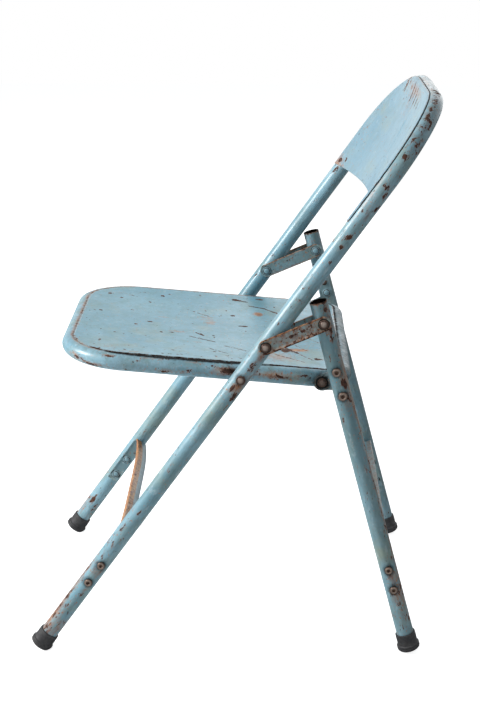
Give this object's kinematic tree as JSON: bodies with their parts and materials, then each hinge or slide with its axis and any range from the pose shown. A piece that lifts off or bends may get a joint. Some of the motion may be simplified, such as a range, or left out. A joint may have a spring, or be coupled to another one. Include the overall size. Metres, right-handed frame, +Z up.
{
  "type": "folding chair",
  "caption": "Steel folding chair with a bent tube frame, pressed sheet seat and back, rear legs hung on side links and rubber tips; its blue paint is worn and peeling to rust.",
  "frame": {"origin": "middle of the overall box at floor level, with the chair standing open", "axes": "+Z up, +X to the sitter's left across the width, and the chair faces -Y"},
  "size_m": [0.4706, 0.5898, 0.7998],
  "materials": {
    "frame_paint": "old light blue gloss paint, chipped to dark rust",
    "panel_paint": "old light blue gloss paint with small dark chips and ochre rust stains",
    "seat_paint": "old light blue gloss paint, rust along the seam",
    "leg_paint": "dulled blue-grey paint, chipped and rust stained",
    "stretcher_paint": "blue-grey paint worn through to orange rust",
    "link_paint": "grey-green paint with brown rust at the edges",
    "rivet_steel": "brown, lightly rusted steel",
    "bolt_steel": "brown, lightly rusted steel",
    "tip_rubber": "old black rubber, greyed"
  },
  "bodies": {
    "frame": {"frame_tube": "frame_paint", "back_panel": "panel_paint", "front_stretcher": "stretcher_paint", "front_stretcher_bolt_1_left": "bolt_steel", "front_stretcher_bolt_1_right": "bolt_steel", "front_stretcher_bolt_2_left": "bolt_steel", "front_stretcher_bolt_2_right": "bolt_steel", "front_tip_left": "tip_rubber", "front_tip_right": "tip_rubber", "seat_rivet_left": "rivet_steel", "seat_rivet_right": "rivet_steel", "link_rivet_front_left": "rivet_steel", "link_rivet_front_right": "rivet_steel"},
    "seat": {"seat_rim": "seat_paint", "seat_panel": "panel_paint", "seat_bush_front_left": "link_paint", "seat_bush_front_right": "link_paint", "seat_bush_rear_left": "link_paint", "seat_bush_rear_right": "link_paint"},
    "link_left": {"link_outer_left": "link_paint", "link_inner_left": "link_paint"},
    "link_right": {"link_outer_right": "link_paint", "link_inner_right": "link_paint"},
    "rear_legs": {"rear_leg_left": "leg_paint", "rear_leg_right": "leg_paint", "rear_stretcher": "stretcher_paint", "rear_stretcher_bolt_1_left": "bolt_steel", "rear_stretcher_bolt_1_right": "bolt_steel", "rear_stretcher_bolt_2_left": "bolt_steel", "rear_stretcher_bolt_2_right": "bolt_steel", "bracket_left": "link_paint", "bracket_right": "link_paint", "bracket_bolt_1_left": "bolt_steel", "bracket_bolt_1_right": "bolt_steel", "bracket_bolt_2_left": "bolt_steel", "bracket_bolt_2_right": "bolt_steel", "bracket_screw_left": "bolt_steel", "bracket_screw_right": "bolt_steel", "ear_rivet_left": "rivet_steel", "ear_rivet_right": "rivet_steel", "link_rivet_rear_left": "rivet_steel", "link_rivet_rear_right": "rivet_steel", "rear_tip_left": "tip_rubber", "rear_tip_right": "tip_rubber"}
  },
  "joints": [
    {"name": "seat_fold", "type": "hinge", "parent": "frame", "child": "seat", "pos_m": [0, 0.01292, 0.41942], "axis": [1, 0, 0], "range_deg": [-117, 0]},
    {"name": "link_left_fold", "type": "hinge", "parent": "frame", "child": "link_left", "pos_m": [0, 0.0473, 0.46762], "axis": [1, 0, 0], "range_deg": [-130.46, 0]},
    {"name": "link_right_fold", "type": "hinge", "parent": "frame", "child": "link_right", "pos_m": [0, 0.0473, 0.46762], "axis": [1, 0, 0], "range_deg": [-130.46, 0]},
    {"name": "rear_leg_fold", "type": "hinge", "parent": "link_left", "child": "rear_legs", "pos_m": [0, 0.12711, 0.50183], "axis": [1, 0, 0], "range_deg": [0, 81.52]}
  ],
  "couplings": [
    {"joint": "link_left_fold", "follows": "seat_fold", "ratio": 1.1147},
    {"joint": "link_right_fold", "follows": "seat_fold", "ratio": 1.1147},
    {"joint": "rear_leg_fold", "follows": "seat_fold", "ratio": -0.69634}
  ]
}
